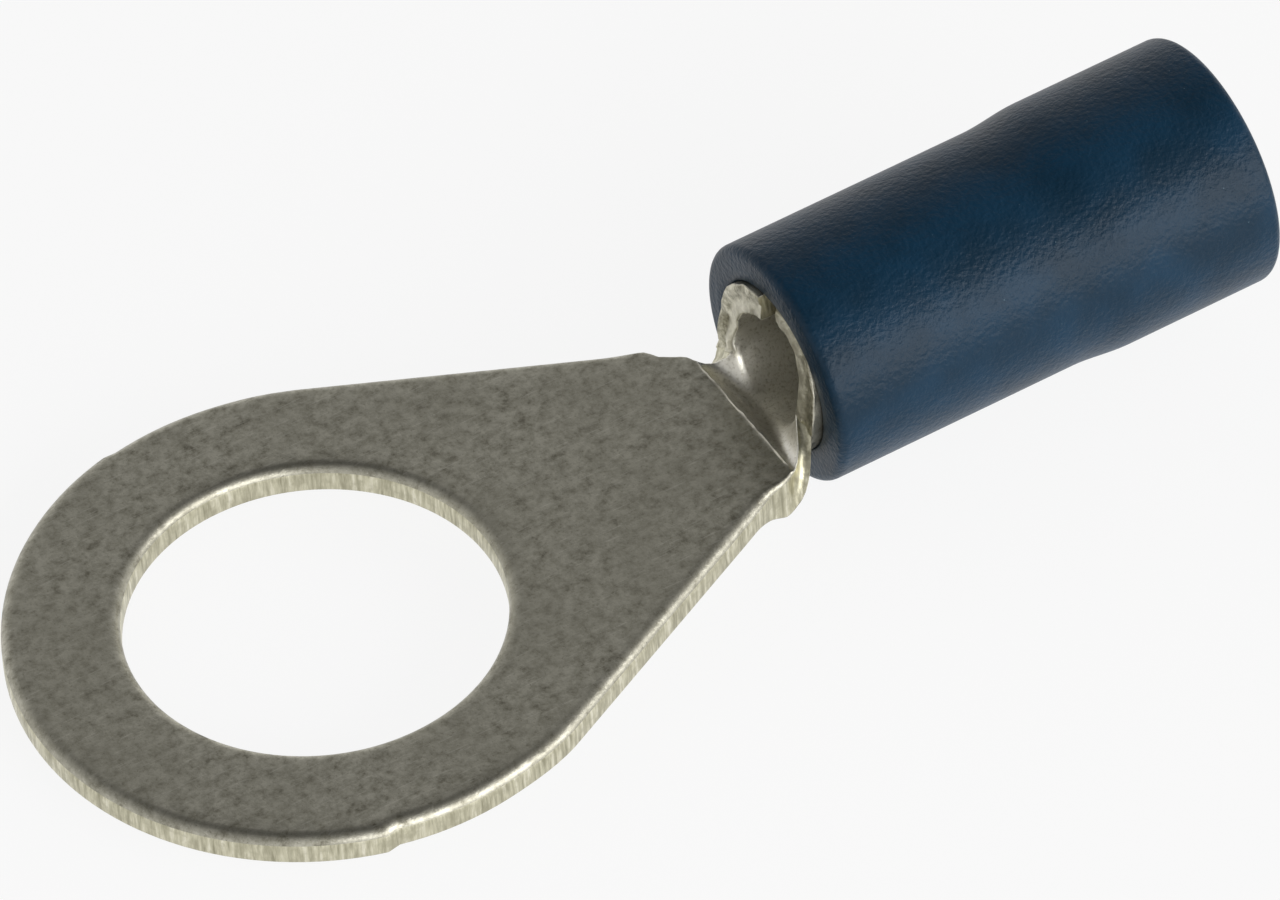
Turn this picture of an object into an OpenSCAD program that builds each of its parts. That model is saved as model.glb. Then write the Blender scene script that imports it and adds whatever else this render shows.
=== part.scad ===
// Insulated ring terminal: one stamped and rolled strip of tinned copper with a
// pre-fitted plastic sleeve. The origin is the centre of the stud hole on the
// underside of the tongue, +Z up, and +X runs from the ring to the wire entry.

/* [Sheet] */
// Thickness of the copper sheet
sheet = 0.7; // [0.65:0.05:0.8]
// Radius that the punch rolls onto the upper edges
edge_roll = 0.3; // [0.15:0.01:0.35]

/* [Ring] */
// Diameter of the stud hole
hole_d = 8.4; // [6.4:0.1:8.6]
// Outer radius of the ring
ring_r = 6.8; // [6.6:0.02:7]

/* [Tongue] */
// Angle between each flank and the long axis
flank_angle = 26.5; // [25:0.1:27]
// Distance from the hole to the crease where the top dips into the scoop
crease_x = 10.7; // [10.6:0.05:10.8]

/* [Neck] */
// Distance ahead of the crease where the underside starts to dip
dip_lead = 1.1; // [0.8:0.05:1.2]
// Radius of the neck's shallow belly, across the strip
belly_r = 14; // [8:1:18]
// Width of the rounded relief between each wing and the neck
relief_w = 0.12; // [0.08:0.02:0.3]
// Length of that relief
relief_l = 0.15; // [0.1:0.05:0.3]

/* [Barrel] */
// Diameter of the wire bore
bore_d = 2.6; // [2.3:0.1:2.7]
// Distance from the hole to the front edge of the barrel
barrel_x = 11.5; // [11.4:0.05:11.6]
// Length of the barrel
barrel_l = 5.8; // [5:0.1:6]
// Height of the barrel's axis above the underside of the tongue
barrel_z = 1.4; // [1.3:0.05:1.6]
// Gap between the two edges that meet along the top of the barrel
seam_gap = 0.06; // [0.04:0.01:0.12]
// Depth of the vee between the corners of the two wings
seam_vee = 0.14; // [0.08:0.02:0.5]

/* [Sleeve] */
// Distance from the hole to the front face of the sleeve
sleeve_x = 11.7; // [11.6:0.05:11.8]
// Overall length of the sleeve
sleeve_l = 11.35; // [11:0.05:12]
// Outer diameter over the barrel
grip_od = 5.64; // [5.4:0.02:5.8]
// Outer diameter at the wire entry
entry_od = 5.86; // [5.84:0.02:6.1]
// Bore at the wire entry
entry_id = 4.5; // [4.3:0.1:4.7]
// Length of the narrow part that grips the barrel
grip_l = 6.3; // [6:0.1:6.8]
// Length of the swell between the narrow part and the wire entry
swell_l = 1.4; // [0.8:0.1:2]
// Rounding of the sleeve's rims
rim_r = 0.22; // [0.1:0.02:0.36]

/* [Hidden] */
$fn = 96;

barrel_ir = bore_d / 2;
barrel_or = barrel_ir + sheet;
barrel_end_x = barrel_x + barrel_l;
// Angle round the ring, from +X, at which a flank leaves it
flank_at = 90 - flank_angle;
// Height of the barrel's outside along its floor
floor_z = barrel_z - barrel_or;
dip_x = crease_x - dip_lead;
dip_steps = 8;
// The scoop's end sits this far inside the bore that it opens into
seat = 0.02;
// Half of the scoop's rounded floor, measured round the curve: it almost fills
// the strip at the crease and nearly half of the bore at the barrel
scoop_crease = flank_y(crease_x) - edge_roll / 2;
scoop_ir = barrel_ir - seat;
scoop_barrel = 80 * scoop_ir * PI / 180;
scoop_steps = 16;
scoop_points = 24;
// Pieces that join run this far into each other
overlap = 0.1;
entry_chamfer = 0.2;
past = 1;

// Ease from 0 to 1: level at both ends, level only at 1, level only at 0
function ease(s) = s * s * (3 - 2 * s);
function settle(s) = s * (2 - s);
function gather(s) = s * s;
function mix(a, b, s) = a + (b - a) * s;
function polar(r, a) = [r * cos(a), r * sin(a)];
// Half width of the tongue along a flank, at a distance x from the hole
function flank_y(x) = (ring_r - x * sin(flank_angle)) / cos(flank_angle);

// ---- Terminal ------------------------------------------------------------

// Plan of the tongue and the neck
module neck_outline() {
    end_x = barrel_x + overlap;
    root = polar(ring_r, flank_at);
    polygon([[root[0], -root[1]], [end_x, -flank_y(end_x)], [end_x, flank_y(end_x)], root]);
}

// Cross section of the metal that the rolled edge takes away, for a wall at x = 0
module roll_profile() {
    translate([-edge_roll, sheet - edge_roll]) difference() {
        square([edge_roll + past, edge_roll + past]);
        circle(r = edge_roll);
    }
}

// Rolls the rim of a round cut of radius r over the given sector
module roll_arc(r, from, to) {
    rotate([0, 0, from])
        rotate_extrude(angle = to - from) translate([r, 0]) roll_profile();
}

// Rolls a straight edge of the given length that leaves point p at an angle
module roll_line(p, angle, run) {
    translate(p) rotate([90, 0, 90 + angle])
        linear_extrude(run) roll_profile();
}

// Rolls the rim of the stud hole
module roll_hole() {
    r = hole_d / 2;
    rotate_extrude() difference() {
        translate([0, sheet - edge_roll]) square([r + edge_roll, edge_roll + past]);
        translate([r + edge_roll, sheet - edge_roll]) circle(r = edge_roll);
    }
}

// Flat sheet of the ring, the tongue and the top of the neck
module tongue() {
    root = polar(ring_r, flank_at);
    flank_run = norm([barrel_x, flank_y(barrel_x)] - root);
    difference() {
        linear_extrude(sheet) difference() {
            union() {
                circle(r = ring_r);
                neck_outline();
            }
            circle(r = hole_d / 2);
        }
        roll_hole();
        roll_arc(ring_r, flank_at - 1, 361 - flank_at);
        for (side = [0, 1]) mirror([0, side, 0])
            roll_line(root - polar(overlap, -flank_angle), -flank_angle, flank_run + 3 * overlap);
    }
}

// The underside dips ahead of the crease to reach the floor of the barrel
module dip() {
    intersection() {
        translate([0, 0, floor_z]) linear_extrude(sheet / 2 - floor_z) neck_outline();
        rotate([90, 0, 0]) linear_extrude(2 * ring_r, center = true)
            polygon(concat([[dip_x, sheet / 2]],
                [for (i = [0:dip_steps]) let (s = i / dip_steps)
                    [mix(dip_x, crease_x, s), floor_z * ease(s)]],
                [[barrel_x + overlap, floor_z], [barrel_x + overlap, sheet / 2]]));
        translate([dip_x - past, 0, floor_z + belly_r]) rotate([0, 90, 0])
            cylinder(h = barrel_x - dip_x + 2 * past, r = belly_r);
    }
}

// One point of the scoop's section: a strip bent to a curvature, u along its
// width, s of the way from the crease to the barrel
function scoop_point(s, u) =
    let (c = min(s, 1), e = settle(c), k = max(gather(c), 0.01) / scoop_ir, a = k * u * 180 / PI)
    [mix(crease_x, barrel_x, s), sin(a) / k,
     mix(sheet, barrel_z - scoop_ir, e) + (1 - cos(a)) / k];

function scoop_section(s) =
    let (w = mix(scoop_crease, scoop_barrel, min(s, 1)),
         row = [for (i = [0:scoop_points]) scoop_point(s, w * (2 * i / scoop_points - 1))])
    concat(row, [for (i = [scoop_points:-1:0]) [row[i][0], row[i][1], barrel_z]]);

// Hollow that starts sharply at the crease and curls from flat to round until
// it runs level into the bore
module scoop() {
    stations = [for (i = [-1:scoop_steps + 1]) scoop_section(i / scoop_steps)];
    row = scoop_points + 1;
    n = 2 * row;
    last = len(stations) - 1;
    // Each end is a ladder of triangles between the rounded floor and the top
    cap = [for (i = [0:scoop_points - 1])
        each [[i, i + 1, n - 2 - i], [i, n - 2 - i, n - 1 - i]]];
    polyhedron(
        points = [for (st = stations) for (p = st) p],
        faces = concat(
            cap,
            [for (k = [0:last - 1]) for (i = [0:n - 1])
                let (a = k * n + i, b = k * n + (i + 1) % n)
                each i % row < scoop_points / 2
                    ? [[a, a + n, b + n], [a, b + n, b]]
                    : [[a, a + n, b], [b, a + n, b + n]]],
            [for (t = cap) [for (j = [2:-1:0]) t[j] + last * n]]),
        convexity = 4);
}

// Solid core of the barrel, bored once the neck has been joined to it
module barrel_blank() {
    translate([barrel_x, 0, barrel_z]) rotate([0, 90, 0])
        cylinder(h = barrel_l, r = barrel_or);
}

module wire_bore() {
    translate([barrel_x, 0, barrel_z]) rotate([0, 90, 0])
        cylinder(h = barrel_l + past, r = barrel_ir);
    translate([barrel_end_x - entry_chamfer, 0, barrel_z]) rotate([0, 90, 0])
        cylinder(h = entry_chamfer, r1 = barrel_ir, r2 = barrel_ir + entry_chamfer);
}

// Open vee and fine gap where the edges of the two wings meet
module seam() {
    translate([barrel_x - past, -seam_gap / 2, barrel_z])
        cube([barrel_l + 2 * past, seam_gap, 2 * barrel_or]);
    translate([barrel_x, 0, barrel_z]) linear_extrude(2 * barrel_or)
        polygon([[-past, -seam_vee - past], [seam_vee, 0], [-past, seam_vee + past]]);
}

// Rounded slots that let the two wings roll without tearing the neck
module relief() {
    translate([barrel_x, 0, sheet + relief_w / 2]) rotate([90, 0, 0])
        linear_extrude(2 * barrel_or + past, center = true) {
            translate([relief_l, 0]) circle(r = relief_w / 2);
            translate([-past, -relief_w / 2]) square([past + relief_l, relief_w]);
        }
}

module terminal() {
    color([0.66, 0.65, 0.6]) difference() {
        union() {
            tongue();
            dip();
            barrel_blank();
        }
        scoop();
        wire_bore();
        seam();
        relief();
    }
}

// ---- Sleeve ----------------------------------------------------------------

rim_steps = 5;
swell_steps = 8;
grip_or = grip_od / 2;
entry_or = entry_od / 2;
entry_ir = entry_id / 2;
bore_step = 0.6;
// The wide bore starts just behind the end of the barrel
bore_step_x = barrel_end_x - sleeve_x + 0.15;

// Rounded rim at height x, turning from one angle to another
function rim(r, x, from, to) =
    [for (i = [0:rim_steps]) [r - rim_r, x] + polar(rim_r, mix(from, to, i / rim_steps))];

// Half section of the sleeve: radius, then distance behind its front face
function sleeve_section() = concat(
    rim(grip_or, rim_r, -90, 0),
    [for (i = [0:swell_steps]) let (s = i / swell_steps)
        [mix(grip_or, entry_or, ease(s)), grip_l + swell_l * s]],
    rim(entry_or, sleeve_l - rim_r, 0, 90),
    [[entry_ir, sleeve_l], [entry_ir, bore_step_x + bore_step],
     [barrel_or, bore_step_x], [barrel_or, 0]]);

module sleeve() {
    color([0.06, 0.17, 0.28])
        translate([sleeve_x, 0, barrel_z]) rotate([0, 90, 0])
            rotate_extrude() polygon(sleeve_section());
}

terminal();
sleeve();
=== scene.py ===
"""An insulated ring terminal: a stamped and rolled strip of tinned copper in a blue PVC sleeve."""
import math

import bmesh
import bpy
from mathutils import Matrix, Vector, noise


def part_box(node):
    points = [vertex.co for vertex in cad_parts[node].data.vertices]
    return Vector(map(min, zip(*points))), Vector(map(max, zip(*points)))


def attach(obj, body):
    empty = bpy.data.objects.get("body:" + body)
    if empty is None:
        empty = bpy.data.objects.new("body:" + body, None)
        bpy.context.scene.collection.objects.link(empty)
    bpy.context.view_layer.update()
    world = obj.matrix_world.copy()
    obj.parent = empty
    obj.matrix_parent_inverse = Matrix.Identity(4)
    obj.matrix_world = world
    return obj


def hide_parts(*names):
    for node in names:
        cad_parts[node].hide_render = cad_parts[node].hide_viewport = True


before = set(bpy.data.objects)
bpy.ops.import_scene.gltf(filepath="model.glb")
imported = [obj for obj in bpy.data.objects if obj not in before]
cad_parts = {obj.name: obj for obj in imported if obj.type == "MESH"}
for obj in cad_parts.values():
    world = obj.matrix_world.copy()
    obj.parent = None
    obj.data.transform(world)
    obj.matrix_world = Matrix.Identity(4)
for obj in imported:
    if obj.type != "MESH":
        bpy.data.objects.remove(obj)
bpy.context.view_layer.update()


# --- Ring terminal ----------------------------------------------------------------------------
# One strip of electrolytic copper, 0.7 mm thick, stamped flat to the ring, its tongue and two
# wings. The press then sets a sharp crease across the neck, dips it and rolls the wings to a
# barrel whose ends meet along the top. Last it is tin-plated, tumbling loose in a bath.

MM = 0.001                # this section's sizes are in millimetres, of the flat blank
SHEET = 0.7
HOLE_R = 4.2
RING_R = 6.8
RING_SIDES = 144
FLANK_FROM = 3.1          # the flanks leave the ring here
FLANK_ENDS = 63.0         # degrees round the ring from the wire's side, just past
FLANK_TOP = 62.5          # the last corner of the ring that is drawn in to the crease
FLANK_SLOPE = 26.5        # degrees to the terminal's middle line
CREASE_X = 10.7
CREASE_HALF = 2.26
WING_X = 11.45            # the wings' front edge
WING_HALF = 5.15          # half the barrel's blank, just under half its middle circle
WING_STEPS = 20
BARREL_END_X = 17.3
MIDDLE_R = 1.65           # of the rolled sheet
DIP = 0.6                 # how far the barrel lies under the tongue
ROLL_R = 0.3              # on the top edges, where the punch draws the sheet down
HOLE_ROLL = 0.9           # the other edges' rolls, as shares of that one: the hole's top edge,
NECK_ROLL = 0.16          # the neck's top edges,
WING_ROLL = 0.12          # the wings',
BURR_ROLL = 0.1           # and the underside's, where the shear leaves its burr


def clamp(t):
    return min(max(t, 0.0), 1.0)


def ease(t, start=0.0, span=1.0):
    """Goes smoothly from 0 to 1 while t goes from start over the span, and stays there."""
    t = clamp((t - start) / span)
    return t * t * (3 - 2 * t)


def pick(piece, wanted):
    """Selects only the vertices of the piece, in edit mode, at places in mm that are wanted."""
    bpy.ops.mesh.select_mode(type="VERT")
    bpy.ops.mesh.select_all(action="DESELECT")
    mesh = bmesh.from_edit_mesh(piece.data)
    for v in mesh.verts:
        v.select = wanted(v.co.x / MM, v.co.y / MM, v.co.z / MM)
    mesh.select_flush_mode()
    bmesh.update_edit_mesh(piece.data)


def cut_across(piece, axis, places, wanted=None):
    """Cuts the piece in edit mode by flat planes across an axis, at places in mm."""
    normal = [0, 0, 0]
    normal[axis] = 1
    for place in places:
        if wanted is None:
            bpy.ops.mesh.select_all(action="SELECT")
        else:
            pick(piece, wanted)
        bpy.ops.mesh.bisect(plane_co=[place * MM * n for n in normal], plane_no=normal,
                            threshold=1e-8)


bpy.ops.object.select_all(action="DESELECT")
bpy.ops.mesh.primitive_circle_add(vertices=RING_SIDES, radius=HOLE_R * MM,
                                  location=(0, 0, SHEET * MM))
terminal = bpy.context.object
terminal.name = "ring_terminal"
bpy.ops.object.transform_apply(location=True, rotation=True, scale=True)
bpy.ops.object.mode_set(mode="EDIT")

# The ring, outwards from its stud hole.
bpy.ops.mesh.select_all(action="SELECT")
bpy.ops.mesh.extrude_region_move()
bpy.ops.transform.resize(value=(RING_R / HOLE_R, RING_R / HOLE_R, 1), center_override=(0, 0, 0))

# The tongue: the ring's edge on the wire's side, drawn in to the crease.
flank_x = RING_R * math.cos(math.radians(FLANK_ENDS))
flank_y = RING_R * math.sin(math.radians(FLANK_TOP))
pick(terminal, lambda x, y, z: math.hypot(x, y) > RING_R - 0.01 and x > flank_x)
bpy.ops.mesh.extrude_region_move()
bpy.ops.transform.resize(value=(0, CREASE_HALF / flank_y, 1),
                         center_override=(CREASE_X * MM, 0, 0))

# The neck and the middle of the barrel, closest together at the wings' front edge, and then the
# wings to both sides.
stations = [10.74, 10.8, 10.9, 11.0, 11.1, 11.2, 11.3, 11.38, WING_X, 11.5, 11.56, 11.64, 11.75,
            11.9, 12.1, 12.4, 12.8] + [13.3 + 0.5 * i for i in range(8)] + [BARREL_END_X]
for before, after in zip([CREASE_X] + stations, stations):
    bpy.ops.mesh.extrude_region_move(
        TRANSFORM_OT_translate={"value": ((after - before) * MM, 0, 0)})
pick(terminal, lambda x, y, z: x > WING_X - 0.01 and abs(y) > CREASE_HALF - 0.01)
half = CREASE_HALF
for i in range(1, WING_STEPS + 1):
    wider = CREASE_HALF + (WING_HALF - CREASE_HALF) * i / WING_STEPS
    bpy.ops.mesh.extrude_region_move()
    bpy.ops.transform.resize(value=(1, wider / half, 1), center_override=(0, 0, 0))
    half = wider

# Inside its outline the blank is two flat faces again, one on each side of its middle line, so
# that the roll has room. Its straight edges run from corner to corner. Only the end of the
# tongue and the neck are cut across, where the outline is off true.
bpy.ops.mesh.select_all(action="SELECT")
bpy.ops.mesh.normals_make_consistent(inside=False)
for side in (1, -1):
    pick(terminal, lambda x, y, z: y * side > -0.001)
    bpy.ops.mesh.dissolve_faces()
corners = [(CREASE_X, CREASE_HALF), (WING_X, CREASE_HALF), (WING_X, WING_HALF),
           (BARREL_END_X, WING_HALF), (BARREL_END_X, 0)]
pick(terminal, lambda x, y, z: x > flank_x and math.hypot(x, y) > HOLE_R + 0.1
     and all(math.hypot(x - cx, abs(y) - cy) > 0.01 for cx, cy in corners))
bpy.ops.mesh.dissolve_verts()
cut_across(terminal, 0, [9.0 + 0.1 * i for i in range(17)] + [10.9, 11.1, 11.3])
bpy.ops.object.mode_set(mode="OBJECT")
if sum(p.normal.z * p.area for p in terminal.data.polygons) < 0:
    terminal.data.flip_normals()

# The die was a little off: its ring halves don't quite meet, and the neck sits to the near side.
# In each pair the far side, where y is above 0, comes first.
HALVES_MEET_X = (-1.4, -2.0)
RING_WORN = (0.07, 0.14)  # how much smaller the ring is on the wire's side of that place
NOTCH_X = 9.95            # the far flank steps in here
NOTCH = 0.2               # and once more behind the crease, by as much
NECK_ASIDE = 0.12


def off_true(x, y):
    """Where the worn die really puts a corner of the blank's outline."""
    side = 0 if y > 0 else 1
    if math.hypot(x, y) > RING_R - 0.02 and x < FLANK_FROM + 0.2:
        k = (1 - RING_WORN[side] / RING_R * ease(x, HALVES_MEET_X[side], 0.12)
             * (1 - 0.6 * ease(x, 1.0, 2.2)))
        x, y = x * k, y * k
    half = CREASE_HALF + max(0, CREASE_X - x) * math.tan(math.radians(FLANK_SLOPE))
    if 9.2 < x < WING_X + 0.01:
        edge = ease(y / half, 0.82, 0.16)
        notch = NOTCH * ease(x, NOTCH_X, 0.12)
        y -= edge * (notch + NOTCH * ease(x, 10.55, 0.2) * (1 - ease(x, 11.3, 0.15)))
        y -= NECK_ASIDE * ease(x, 9.9, 0.6) * (1 - ease(x, 11.0, 0.4))
    return x, y


for v in terminal.data.vertices:
    x, y = off_true(v.co.x / MM, v.co.y / MM)
    v.co.x, v.co.y = x * MM, y * MM


def finish_with(piece, kind, **settings):
    """Adds a modifier with its settings to the active piece and applies it."""
    modifier = piece.modifiers.new(kind.lower(), kind)
    for name, value in settings.items():
        setattr(modifier, name, value)
    bpy.ops.object.modifier_apply(modifier=modifier.name)


TINNED, SHEARED, TORN = 0, 1, 2           # the terminal's finishes, in the order of its slots
for i in (TINNED, SHEARED, TORN):
    terminal.data.materials.append(None)
finish_with(terminal, "SOLIDIFY", thickness=SHEET * MM, offset=-1)

# The punch rolls the top edges of the ring and its flanks. The hole's edge is sharper, and the
# neck's and the wings' are hardly rolled at all. On each side the roll fades along the flank.
ROLL_FADES_X = (9.3, 9.6)
sheet = bmesh.new()
sheet.from_mesh(terminal.data)
weight = sheet.edges.layers.float.new("bevel_weight_edge")
for e in sheet.edges:
    walls = [f for f in e.link_faces if abs(f.normal.z) < 0.5]
    top = all(abs(v.co.z / MM - SHEET) < 0.001 for v in e.verts)
    if len(walls) == 1 and len(e.link_faces) == 2:
        middle = (e.verts[0].co + e.verts[1].co) / 2 / MM
        fades = 1 - ease(middle.x, ROLL_FADES_X[0 if middle.y > 0 else 1], 0.7)
        if math.hypot(middle.x, middle.y) < HOLE_R + 0.1:
            e[weight] = HOLE_ROLL if top else BURR_ROLL
        elif middle.x < WING_X - 0.02:
            e[weight] = NECK_ROLL + (1 - NECK_ROLL) * fades if top else BURR_ROLL
        else:
            e[weight] = WING_ROLL
sheet.to_mesh(terminal.data)
sheet.free()
finish_with(terminal, "BEVEL", width=ROLL_R * MM, segments=5, limit_method="WEIGHT",
            use_clamp_overlap=False)

# The sheet is cut into small faces before it is bent: 0.4 mm apart over the ring and the tongue,
# finer in the neck and the wings, and in rows up the walls that tear.
bpy.ops.object.mode_set(mode="EDIT")
cut_across(terminal, 0, [-6.4 + 0.4 * i for i in range(39)])
cut_across(terminal, 1, [-6.4 + 0.4 * i for i in range(33)])
cut_across(terminal, 0, [9.0 + 0.1 * i for i in range(36)])
cut_across(terminal, 0, [10.66, 10.74, 12.8, 13.4, 14, 15, 16, 17])
cut_across(terminal, 1, [-5.1 + 0.15 * i for i in range(69)], lambda x, y, z: x > 8.99)
cut_across(terminal, 2, [0.1, 0.2, 0.3, 0.4, 0.5, 0.6], lambda x, y, z: 9.2 < x < 12.35)
bpy.ops.object.mode_set(mode="OBJECT")

# The walls that the shear cut have a finish of their own, and so have the wings' torn fronts.
for face in terminal.data.polygons:
    front = face.normal.x < -0.7 and face.center.x > (WING_X - 0.05) * MM
    face.material_index = TORN if front else SHEARED if abs(face.normal.z) < 0.3 else TINNED

FAR_WING_CUT, NEAR_WING_CUT = 0.14, 0.38  # how far back their slanted front edges go,
FAR_CUT_OVER, NEAR_CUT_OVER = 0.5, 2.2    # and over what width
CUT_REACH = 1.6           # the cut's slant has died out this far behind the front edge
LOW_DIP_X = 9.4           # the underside starts to dip here, before the crease on the top,
LOW_DIP_OVER = 1.5
LOW_CURL_X = 10.4         # and to curl here
TOP_CURL_POWER, LOW_CURL_POWER = 1.25, 1.4


def wing_cut(t):
    """How far the front edge of a wing lies behind the neck's end: the press cuts both slanted."""
    if t > 0:
        return FAR_WING_CUT * ease((t - CREASE_HALF) / FAR_CUT_OVER)
    return NEAR_WING_CUT * ease((-t - CREASE_HALF) / NEAR_CUT_OVER)


def bend(x, t, n):
    """Where the press puts a point of the blank: x along, t across, n up from its underside."""
    neck = clamp((x - CREASE_X) / (WING_X - CREASE_X))
    top_drop = DIP * neck * (2 - neck)
    low_drop = DIP * ease(x, LOW_DIP_X, LOW_DIP_OVER)
    top_curl = neck ** TOP_CURL_POWER
    low_curl = clamp((x - LOW_CURL_X) / (WING_X - LOW_CURL_X)) ** LOW_CURL_POWER
    share = n / SHEET
    curl = (low_curl + (top_curl - low_curl) * share) / MIDDLE_R
    top, low = SHEET - top_drop, -low_drop
    middle, depth = (top + low) / 2, (top - low) * (share - 0.5)
    if curl < 1e-4:
        return x, t, middle + depth
    turn = t * curl
    return (x, math.sin(turn) / curl - depth * math.sin(turn),
            middle + (1 - math.cos(turn)) / curl + depth * math.cos(turn))


# The crease's line is a little ragged and raised, and the torn fronts are rough and bulge halfway
# up the sheet. The marks keep, point by point, where the finish differs, and where a painted
# highlight runs along the crease.
marks = {"crease": [], "inside": [], "depth": []}
for v in terminal.data.vertices:
    x, t, n = v.co / MM
    depth = n / SHEET
    crease = 0.0
    if n > SHEET - 0.14 and abs(x - CREASE_X) < 0.03 and abs(t) < 2.6:
        fades = ease((1.7 - t) / 0.3) * ease((t + 2.35) / 0.15)
        crease = fades * (0.9 + 0.6 * noise.noise(Vector((t * 6, 0.4, 0))))
        n += fades * (0.02 + 0.03 * noise.noise(Vector((t * 5, 3.1, 0))))
        x += 0.06 * noise.noise(Vector((t * 3.5, 8.7, 0)))
    if abs(t) > CREASE_HALF - 0.3 and x > WING_X - 0.06:
        x += wing_cut(t) * (1 - ease(x, WING_X, CUT_REACH))
        torn = ease(1 - (x - WING_X - wing_cut(t)) / 0.12)
        x += torn * (0.035 * noise.noise(Vector((t * 2.6, n * 3.2, 1.7)))
                     + 0.02 * noise.noise(Vector((t * 9, n * 9, 4.2)))
                     + 0.05 * ease(1 - abs(depth - 0.45) / 0.25) - 0.02)
        n += torn * 0.05 * noise.noise(Vector((t * 4, n * 2, 9.0)))
    marks["crease"].append(crease)
    # The inside of the neck and the barrel, which is painted lighter as painted light.
    marks["inside"].append(ease(x, CREASE_X, 0.08) * ease(depth, 0.75, 0.2))
    marks["depth"].append(depth)
    v.co = Vector(bend(x, t, n)) * MM
for name, values in marks.items():
    terminal.data.attributes.new(name, "FLOAT", "POINT").data.foreach_set("value", values)
bpy.ops.object.shade_smooth_by_angle(angle=math.radians(38))


def linear(hex_colour):
    """An sRGB hex colour as the linear colour, with alpha, that a shader takes."""
    parts = [int(hex_colour[i:i + 2], 16) / 255 for i in (1, 3, 5)]
    return [c / 12.92 if c <= 0.04045 else ((c + 0.055) / 1.055) ** 2.4 for c in parts] + [1.0]


def add_node(tree, kind, inputs=None, stops=(), **settings):
    """Adds a node with its settings, its inputs and, on a ramp, its stops of place and colour.

    An input that is given a socket is linked to it.
    """
    node = tree.nodes.new(kind)
    for name, value in settings.items():
        setattr(node, name, value)
    for name, value in (inputs or {}).items():
        if isinstance(value, bpy.types.NodeSocket):
            tree.links.new(value, node.inputs[name])
        else:
            node.inputs[name].default_value = value
    for i, (position, colour) in enumerate(stops):
        elements = node.color_ramp.elements
        element = elements[i] if i < len(elements) else elements.new(position)
        element.position, element.color = position, linear(colour)
    return node


def new_finish(name):
    """An empty material with its output node, and the piece's own coordinates in millimetres."""
    finish = bpy.data.materials.new(name)
    finish.use_nodes = True
    tree = finish.node_tree
    tree.nodes.clear()
    output = add_node(tree, "ShaderNodeOutputMaterial")
    place = add_node(tree, "ShaderNodeTexCoord")
    in_mm = add_node(tree, "ShaderNodeMapping",
                     {"Vector": place.outputs["Object"], "Scale": (1 / MM, 1 / MM, 1 / MM)})
    return finish, tree, output, in_mm.outputs["Vector"]


# Barrel-plated tin, dull: a warm grey metal. Tumbling against other terminals leaves it mottled
# at the scale of a few tenths of a millimetre, blotched in places, with short scratches, which
# are drawn wider than real ones so that they show. Inside the neck and the barrel, where the
# forming mandrel pressed it, it is cleaner, and there it is also painted far lighter, as painted
# light in that hollow. Along the crease runs a painted highlight.
TIN = "#bbb8aa"
TIN_DULL = "#9f9c8e"
TIN_DARK = "#6f6b5d"
# Painted light: the next two paint the inside of the neck and the barrel far lighter than the tin.
# The first of them also colours the scratches.
TIN_SCRATCH_AND_PAINTED_LIGHT = "#f6f3e8"
TIN_PAINTED_LIGHT_DULL = "#d4d0c1"
# A painted highlight along the crease.
TIN_CREASE_HIGHLIGHT = "#f0ecdd"
MOTTLE_MM = 0.34
GRAIN_MM = 0.07
BLOTCH_MM = 2.6
SCRATCH_MM = 0.05
SCRATCHES = [(24, 1.1), (-52, 0.8)]       # degrees across the sheet, and length in mm
GRAIN_DEEP_MM = 0.012
MOTTLE_DEEP_MM = 0.02

tin, tree, output, mm = new_finish("dull_barrel_plated_tin")
mottle = add_node(tree, "ShaderNodeTexNoise", {"Vector": mm, "Scale": 1 / MOTTLE_MM, "Detail": 6.0,
                                               "Roughness": 0.75}).outputs["Fac"]
grain = add_node(tree, "ShaderNodeTexNoise", {"Vector": mm, "Scale": 1 / GRAIN_MM, "Detail": 3.0,
                                              "Roughness": 0.6}).outputs["Fac"]
blotch = add_node(tree, "ShaderNodeTexNoise", {"Vector": mm, "Scale": 1 / BLOTCH_MM, "Detail": 5.0,
                                               "Roughness": 0.6}).outputs["Fac"]
skin = add_node(tree, "ShaderNodeValToRGB", {"Fac": mottle},
                stops=[(0.3, TIN_DARK), (0.44, TIN_DULL), (0.6, TIN)])
blotched = add_node(tree, "ShaderNodeMapRange", {"Value": blotch, "From Min": 0.42,
                                                 "From Max": 0.66, "To Min": 0.0, "To Max": 0.5})
skin = add_node(tree, "ShaderNodeMix", {0: blotched.outputs[0], 6: skin.outputs["Color"],
                                        7: linear(TIN_DULL)}, data_type="RGBA")
pitted = add_node(tree, "ShaderNodeMapRange", {"Value": grain, "From Min": 0.3, "From Max": 0.42,
                                               "To Min": 0.45, "To Max": 0.0})
skin = add_node(tree, "ShaderNodeMix", {0: pitted.outputs[0], 6: skin.outputs[2],
                                        7: linear(TIN_DARK)}, data_type="RGBA")
lines = []
for turn, reach in SCRATCHES:
    lie = add_node(tree, "ShaderNodeMapping", {"Vector": mm, "Rotation": (0, 0, math.radians(turn)),
                                               "Scale": (SCRATCH_MM / reach, 1, 1)})
    streak = add_node(tree, "ShaderNodeTexNoise", {"Vector": lie.outputs[0],
                                                   "Scale": 1 / SCRATCH_MM, "Detail": 1.0,
                                                   "Roughness": 0.6})
    lines.append(add_node(tree, "ShaderNodeMapRange", {"Value": streak.outputs["Fac"],
                                                       "From Min": 0.66, "From Max": 0.74,
                                                       "To Min": 0.0, "To Max": 1.0}))
either = add_node(tree, "ShaderNodeMath", {0: lines[0].outputs[0], 1: lines[1].outputs[0]},
                  operation="MAXIMUM")
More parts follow.
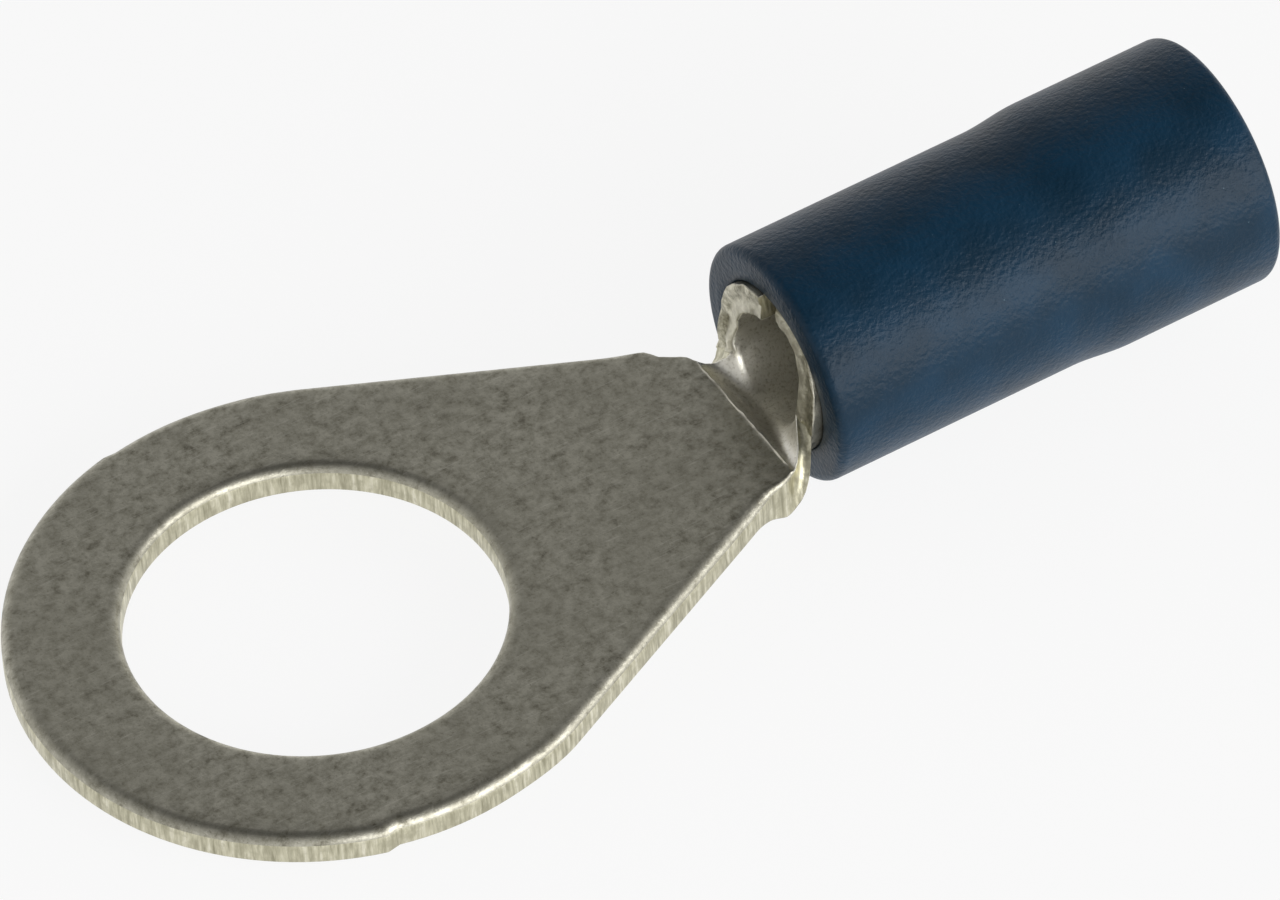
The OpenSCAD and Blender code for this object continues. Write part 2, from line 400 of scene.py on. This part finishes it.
scratched = add_node(tree, "ShaderNodeMapRange", {"Value": either.outputs[0], "From Min": 0,
                                                  "From Max": 1, "To Min": 0, "To Max": 0.16})
skin = add_node(tree, "ShaderNodeMix", {0: scratched.outputs[0], 6: skin.outputs[2],
                                        7: linear(TIN_SCRATCH_AND_PAINTED_LIGHT)}, data_type="RGBA")
# Painted light: inside the neck and the barrel the tin turns near white. The mandrel's cleaner tin
# there is real, but its near-white lightness is painted light in that hollow.
inside = add_node(tree, "ShaderNodeAttribute", attribute_name="inside")
pressed = add_node(tree, "ShaderNodeValToRGB", {"Fac": grain},
                   stops=[(0.3, TIN_PAINTED_LIGHT_DULL), (0.5, TIN_SCRATCH_AND_PAINTED_LIGHT)])
skin = add_node(tree, "ShaderNodeMix", {0: inside.outputs["Fac"], 6: skin.outputs[2],
                                        7: pressed.outputs["Color"]}, data_type="RGBA")
# Painted highlight: a near-white line along the crease's fold.
crease = add_node(tree, "ShaderNodeAttribute", attribute_name="crease")
skin = add_node(tree, "ShaderNodeMix", {0: crease.outputs["Fac"], 6: skin.outputs[2],
                                        7: linear(TIN_CREASE_HIGHLIGHT)}, data_type="RGBA")
rough = add_node(tree, "ShaderNodeMapRange", {"Value": mottle, "From Min": 0.3, "From Max": 0.7,
                                              "To Min": 0.46, "To Max": 0.34})
dents = add_node(tree, "ShaderNodeBump", {"Height": grain, "Strength": 0.35,
                                          "Distance": GRAIN_DEEP_MM * MM})
dents = add_node(tree, "ShaderNodeBump", {"Height": mottle, "Strength": 0.3,
                                          "Distance": MOTTLE_DEEP_MM * MM,
                                          "Normal": dents.outputs[0]})
shader = add_node(tree, "ShaderNodeBsdfPrincipled",
                  {"Base Color": skin.outputs[2], "Metallic": 1.0, "Roughness": rough.outputs[0],
                   "Normal": dents.outputs[0]})
tree.links.new(shader.outputs["BSDF"], output.inputs["Surface"])

# Sheared copper under the same tin: bright, and drawn out in fine lines through the sheet, with
# duller spots where the plating is thin.
SHEARED_DARK = "#9b9781"
SHEARED_TIN = "#ccc8b0"
SHEARED_BRIGHT = "#e6e2cf"
SHEARED_SPOT = "#a5a18a"
DRAWN_LINE_MM = 0.11
DRAWN_OUT = 0.12          # the lines are this much finer across the sheet than through it
SHEARED_SPOT_MM = 0.3
DRAWN_DEEP_MM = 0.02

sheared, tree, output, mm = new_finish("sheared_and_tinned_edge")
along = add_node(tree, "ShaderNodeVectorMath", {0: mm, 1: (1.0, 1.0, DRAWN_OUT)},
                 operation="MULTIPLY")
lines = add_node(tree, "ShaderNodeTexNoise", {"Vector": along.outputs[0],
                                              "Scale": 1 / DRAWN_LINE_MM, "Detail": 4.0,
                                              "Roughness": 0.6}).outputs["Fac"]
spots = add_node(tree, "ShaderNodeTexNoise", {"Vector": mm, "Scale": 1 / SHEARED_SPOT_MM,
                                              "Detail": 4.0, "Roughness": 0.6})
tone = add_node(tree, "ShaderNodeValToRGB", {"Fac": lines},
                stops=[(0.32, SHEARED_DARK), (0.55, SHEARED_TIN), (0.7, SHEARED_BRIGHT)])
spotted = add_node(tree, "ShaderNodeMapRange", {"Value": spots.outputs["Fac"], "From Min": 0.36,
                                                "From Max": 0.5, "To Min": 0.5, "To Max": 0.0})
tone = add_node(tree, "ShaderNodeMix", {0: spotted.outputs[0], 6: tone.outputs["Color"],
                                        7: linear(SHEARED_SPOT)}, data_type="RGBA")
ridges = add_node(tree, "ShaderNodeBump", {"Height": lines, "Strength": 0.6,
                                           "Distance": DRAWN_DEEP_MM * MM})
shader = add_node(tree, "ShaderNodeBsdfPrincipled",
                  {"Base Color": tone.outputs[2], "Metallic": 1.0, "Roughness": 0.36,
                   "Normal": ridges.outputs[0]})
tree.links.new(shader.outputs["BSDF"], output.inputs["Surface"])

# Where the wings' fronts tore off the strip: a rough face, paler on the bore's side of it.
TORN_DARK = "#6f6b5a"
TORN_TIN = "#b4b09b"
TORN_BRIGHT = "#e4e0ce"
TORN_PALE = "#d9d5c3"
TORN_LUMP_MM = 0.22
TORN_DEEP_MM = 0.05

torn_edge, tree, output, mm = new_finish("torn_and_tinned_edge")
lumps = add_node(tree, "ShaderNodeTexNoise", {"Vector": mm, "Scale": 1 / TORN_LUMP_MM,
                                              "Detail": 5.0, "Roughness": 0.7}).outputs["Fac"]
tone = add_node(tree, "ShaderNodeValToRGB", {"Fac": lumps},
                stops=[(0.34, TORN_DARK), (0.5, TORN_TIN), (0.66, TORN_BRIGHT)])
depth = add_node(tree, "ShaderNodeAttribute", attribute_name="depth")
pale = add_node(tree, "ShaderNodeMapRange", {"Value": depth.outputs["Fac"], "From Min": 0.4,
                                             "From Max": 0.6, "To Min": 0.0, "To Max": 0.6})
tone = add_node(tree, "ShaderNodeMix", {0: pale.outputs[0], 6: tone.outputs["Color"],
                                        7: linear(TORN_PALE)}, data_type="RGBA")
ridges = add_node(tree, "ShaderNodeBump", {"Height": lumps, "Strength": 0.8,
                                           "Distance": TORN_DEEP_MM * MM})
shader = add_node(tree, "ShaderNodeBsdfPrincipled",
                  {"Base Color": tone.outputs[2], "Metallic": 1.0, "Roughness": 0.36,
                   "Normal": ridges.outputs[0]})
tree.links.new(shader.outputs["BSDF"], output.inputs["Surface"])

for place, metal in zip(terminal.material_slots, (tin, sheared, torn_edge)):
    place.material = metal
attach(terminal, "root")
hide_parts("terminal")


# --- Insulating sleeve ------------------------------------------------------------------------
# A moulded sleeve of blue PVC, pressed over the barrel. It is a plain tube on the barrel and
# swells to a wider, thinner tube behind it, where the wire's own insulation goes in.

SLEEVE_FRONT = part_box("sleeve")[0].x
SLEEVE_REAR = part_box("sleeve")[1].x
AXIS_Z = 1.4 * MM
GRIP_R = 2.82 * MM
ENTRY_R = 2.93 * MM
RIM = 0.22 * MM                     # the rounding of both outer ends
GRIP_BORE_R = 2.0 * MM
ENTRY_BORE_R = 2.25 * MM
SWELL = (6.3 * MM, 7.7 * MM)        # from the front face
BORE_STEP = (5.75 * MM, 6.35 * MM)
ENTRY_RING = 2 * MM                 # from the step to a ring of faces in the wire entry
LIP = 0.06 * MM                     # broken inner edges
ROUND_STEPS, GRIP_STEPS, SWELL_STEPS, ENTRY_STEPS = 6, 12, 8, 7
SLEEVE_SIDES = 128

# One profile, from the front bore's edge over the outside to the rear and back through the bore.
profile = [(SLEEVE_FRONT, GRIP_BORE_R + LIP), (SLEEVE_FRONT, (GRIP_BORE_R + GRIP_R - RIM) / 2)]
for i in range(ROUND_STEPS + 1):
    a = math.pi / 2 * i / ROUND_STEPS
    profile.append((SLEEVE_FRONT + RIM * (1 - math.cos(a)), GRIP_R - RIM * (1 - math.sin(a))))
for i in range(1, GRIP_STEPS + 1):
    profile.append((SLEEVE_FRONT + RIM + (SWELL[0] - RIM) * i / GRIP_STEPS, GRIP_R))
for i in range(1, SWELL_STEPS + 1):
    profile.append((SLEEVE_FRONT + SWELL[0] + (SWELL[1] - SWELL[0]) * i / SWELL_STEPS,
                    GRIP_R + (ENTRY_R - GRIP_R) * ease(i / SWELL_STEPS)))
entry_from = SLEEVE_FRONT + SWELL[1]
for i in range(1, ENTRY_STEPS + 1):
    profile.append((entry_from + (SLEEVE_REAR - RIM - entry_from) * i / ENTRY_STEPS, ENTRY_R))
for i in range(1, ROUND_STEPS + 1):
    a = math.pi / 2 * i / ROUND_STEPS
    profile.append((SLEEVE_REAR - RIM * (1 - math.sin(a)), ENTRY_R - RIM * (1 - math.cos(a))))
profile += [(SLEEVE_REAR, ENTRY_BORE_R + LIP), (SLEEVE_REAR - LIP, ENTRY_BORE_R),
            (SLEEVE_FRONT + BORE_STEP[1] + ENTRY_RING, ENTRY_BORE_R),
            (SLEEVE_FRONT + BORE_STEP[1], ENTRY_BORE_R), (SLEEVE_FRONT + BORE_STEP[0], GRIP_BORE_R),
            (SLEEVE_FRONT + LIP, GRIP_BORE_R), (SLEEVE_FRONT, GRIP_BORE_R + LIP)]

bpy.ops.object.select_all(action="DESELECT")
bpy.ops.mesh.primitive_circle_add(vertices=SLEEVE_SIDES, radius=profile[0][1],
                                  location=(profile[0][0], 0, AXIS_Z),
                                  rotation=(0, math.pi / 2, 0))
sleeve = bpy.context.object
sleeve.name = "insulating_sleeve"
bpy.ops.object.transform_apply(location=True, rotation=True, scale=True)
bpy.ops.object.mode_set(mode="EDIT")
bpy.ops.mesh.select_all(action="SELECT")
for (x0, r0), (x1, r1) in zip(profile, profile[1:]):
    bpy.ops.mesh.extrude_region_move(TRANSFORM_OT_translate={"value": (x1 - x0, 0, 0)})
    bpy.ops.transform.resize(value=(1, r1 / r0, r1 / r0), center_override=(x1, 0, AXIS_Z))
bpy.ops.mesh.select_all(action="SELECT")
bpy.ops.mesh.remove_doubles(threshold=1e-7)
bpy.ops.mesh.normals_make_consistent(inside=False)
bpy.ops.object.mode_set(mode="OBJECT")
bpy.ops.object.shade_smooth_by_angle(angle=math.radians(50))

# Moulded soft PVC: deep blue right through, satin, with the fine orange peel of the mould,
# slight flats and swells where it shrank on the barrel, and a few specks of dust.
PVC = "#0d3148"
PVC_DARK = "#09283b"
PVC_DUST = "#5d7480"
PEEL_MM = 0.13
PEEL_DEEP_MM = 0.03
SHRINK_MM = 1.5
SHRINK_DEEP_MM = 0.06
DUST_MM = 0.07

pvc, tree, output, mm = new_finish("moulded_blue_pvc")
peel = add_node(tree, "ShaderNodeTexNoise", {"Vector": mm, "Scale": 1 / PEEL_MM, "Detail": 3.0,
                                             "Roughness": 0.55})
lumps = add_node(tree, "ShaderNodeTexNoise", {"Vector": mm, "Scale": 1 / SHRINK_MM, "Detail": 2.0,
                                              "Roughness": 0.5}).outputs["Fac"]
even = add_node(tree, "ShaderNodeMapRange", {"Value": lumps, "From Min": 0.35, "From Max": 0.65,
                                             "To Min": 0, "To Max": 1})
body = add_node(tree, "ShaderNodeMix", {0: even.outputs[0], 6: linear(PVC_DARK), 7: linear(PVC)},
                data_type="RGBA")
dust = add_node(tree, "ShaderNodeTexNoise", {"Vector": mm, "Scale": 1 / DUST_MM, "Detail": 1.0,
                                             "Roughness": 0.6})
specks = add_node(tree, "ShaderNodeMapRange", {"Value": dust.outputs["Fac"], "From Min": 0.79,
                                               "From Max": 0.83, "To Min": 0, "To Max": 0.7})
body = add_node(tree, "ShaderNodeMix", {0: specks.outputs[0], 6: body.outputs[2],
                                        7: linear(PVC_DUST)}, data_type="RGBA")
coarse = add_node(tree, "ShaderNodeBump", {"Height": lumps, "Strength": 0.3,
                                           "Distance": SHRINK_DEEP_MM * MM})
fine = add_node(tree, "ShaderNodeBump", {"Height": peel.outputs["Fac"], "Strength": 1.0,
                                         "Distance": PEEL_DEEP_MM * MM,
                                         "Normal": coarse.outputs[0]})
shader = add_node(tree, "ShaderNodeBsdfPrincipled",
                  {"Base Color": body.outputs[2], "Roughness": 0.38, "IOR": 1.5,
                   "Specular IOR Level": 0.22, "Normal": fine.outputs[0]})
tree.links.new(shader.outputs["BSDF"], output.inputs["Surface"])
sleeve.data.materials.clear()
sleeve.data.materials.append(pvc)
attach(sleeve, "root")
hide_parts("sleeve")


# --- Table and light --------------------------------------------------------------------------
# A plain white table, on which the terminal rests on its ring's edge and its sleeve's rim, with
# one low wide lamp in front and a dim room above, as on a product table.

REST_SLOPE = math.atan2(1.42, 18.7)       # the sleeve's rim lies 1.42 mm lower, 18.7 mm along
TABLE_SIDE = 0.8                          # metres
WHITE = "#ffffff"
PAPER = "#f2f2f2"
PAPER_GLOW = 0.88                         # how far the camera and the metal see it as white
ROOM = [(0.0, "#ffffff"), (0.12, "#f0f0f0"), (0.35, "#cfcfcf"), (0.6, "#bababa"),
        (0.78, "#a4a4a4"), (0.93, "#484848")]        # from the horizon up to overhead

bpy.ops.object.select_all(action="DESELECT")
bpy.ops.mesh.primitive_plane_add(size=TABLE_SIDE, location=(0, 0, 0))
table = bpy.context.object
table.name = "table"
table.matrix_world = (Matrix.Translation((-RING_R * MM, 0, 0))
                      @ Matrix.Rotation(REST_SLOPE, 4, "Y"))
paper = bpy.data.materials.new("white_table_paper")
paper.use_nodes = True
tree = paper.node_tree
tree.nodes.clear()
output = add_node(tree, "ShaderNodeOutputMaterial")
ray = add_node(tree, "ShaderNodeLightPath")
seen = add_node(tree, "ShaderNodeMath", {0: ray.outputs["Is Camera Ray"],
                                         1: ray.outputs["Is Glossy Ray"]}, operation="MAXIMUM")
seen = add_node(tree, "ShaderNodeMath", {0: seen.outputs[0],
                                         1: ray.outputs["Is Transmission Ray"]},
                operation="MAXIMUM")
share = add_node(tree, "ShaderNodeMath", {0: seen.outputs[0], 1: PAPER_GLOW}, operation="MULTIPLY")
matt = add_node(tree, "ShaderNodeBsdfDiffuse", {"Color": linear(PAPER)})
glow = add_node(tree, "ShaderNodeEmission", {"Color": linear(WHITE), "Strength": 1.0})
shown = add_node(tree, "ShaderNodeMixShader",
                 {0: share.outputs[0], 1: matt.outputs[0], 2: glow.outputs[0]})
tree.links.new(shown.outputs[0], output.inputs["Surface"])
table.data.materials.append(paper)

# The room is white to the camera, as the table is. The metal sees it dimmer towards overhead,
# which gives its rolled edges their shade.
room = bpy.data.worlds.new("room")
bpy.context.scene.world = room
room.use_nodes = True
tree = room.node_tree
tree.nodes.clear()
output = add_node(tree, "ShaderNodeOutputWorld")
ray = add_node(tree, "ShaderNodeLightPath")
seen = add_node(tree, "ShaderNodeMath", {0: ray.outputs["Is Camera Ray"],
                                         1: ray.outputs["Is Transmission Ray"]},
                operation="MAXIMUM")
place = add_node(tree, "ShaderNodeTexCoord")
height = add_node(tree, "ShaderNodeSeparateXYZ", {0: place.outputs["Generated"]})
sky = add_node(tree, "ShaderNodeValToRGB", {"Fac": height.outputs["Z"]}, stops=ROOM)
dim = add_node(tree, "ShaderNodeBackground", {"Color": sky.outputs["Color"], "Strength": 1.0})
white = add_node(tree, "ShaderNodeBackground", {"Color": linear(WHITE), "Strength": 1.0})
shown = add_node(tree, "ShaderNodeMixShader",
                 {0: seen.outputs[0], 1: dim.outputs[0], 2: white.outputs[0]})
tree.links.new(shown.outputs[0], output.inputs["Surface"])

# The lamp is a soft box of 400 by 140 mm, a quarter of a metre in front of the object's middle.
MIDDLE = Vector((8 * MM, 0, 0))
LAMP_DIRECTION = Vector((0.33, -0.914, 0.28)).normalized()
LAMP_DISTANCE = 0.25
LAMP_WIDTH, LAMP_DEPTH = 0.4, 0.14
LAMP_WATTS = 0.6

light = bpy.data.lights.new("front_softbox", "AREA")
light.shape = "RECTANGLE"
light.size, light.size_y, light.energy = LAMP_WIDTH, LAMP_DEPTH, LAMP_WATTS
lamp = bpy.data.objects.new("front_softbox", light)
bpy.context.scene.collection.objects.link(lamp)
lamp.location = MIDDLE + LAMP_DIRECTION * LAMP_DISTANCE
lamp.rotation_euler = LAMP_DIRECTION.to_track_quat("Z", "Y").to_euler()


# --- Camera -----------------------------------------------------------------------------------
# A long lens from the ring's side, looking down at the terminal across its length, with the
# camera turned a little about its own axis.

AZIMUTH, ELEVATION, ROLL = math.radians(-28.35), math.radians(45.9), math.radians(-4.33)
DISTANCE = 336 * MM
LOOK_AT = Vector((8.287, 0.063, 0.7)) * MM
SENSOR_WIDTH, FOCAL_LENGTH = 36, 434.7    # millimetres

back = Vector((math.sin(AZIMUTH) * math.cos(ELEVATION),
               -math.cos(AZIMUTH) * math.cos(ELEVATION), math.sin(ELEVATION)))
right = Vector((math.cos(AZIMUTH), math.sin(AZIMUTH), 0))
up = back.cross(right)
tilted_right = math.cos(ROLL) * right + math.sin(ROLL) * up
tilted_up = -math.sin(ROLL) * right + math.cos(ROLL) * up
lens = bpy.data.cameras.new("camera")
lens.sensor_width, lens.lens = SENSOR_WIDTH, FOCAL_LENGTH
lens.clip_start, lens.clip_end = 0.01, 10
camera = bpy.data.objects.new("camera", lens)
bpy.context.scene.collection.objects.link(camera)
pose = Matrix((tilted_right, tilted_up, back)).transposed().to_4x4()
pose.translation = LOOK_AT + back * DISTANCE
camera.matrix_world = pose
bpy.context.scene.camera = camera
bpy.context.scene.view_settings.view_transform = "Standard"
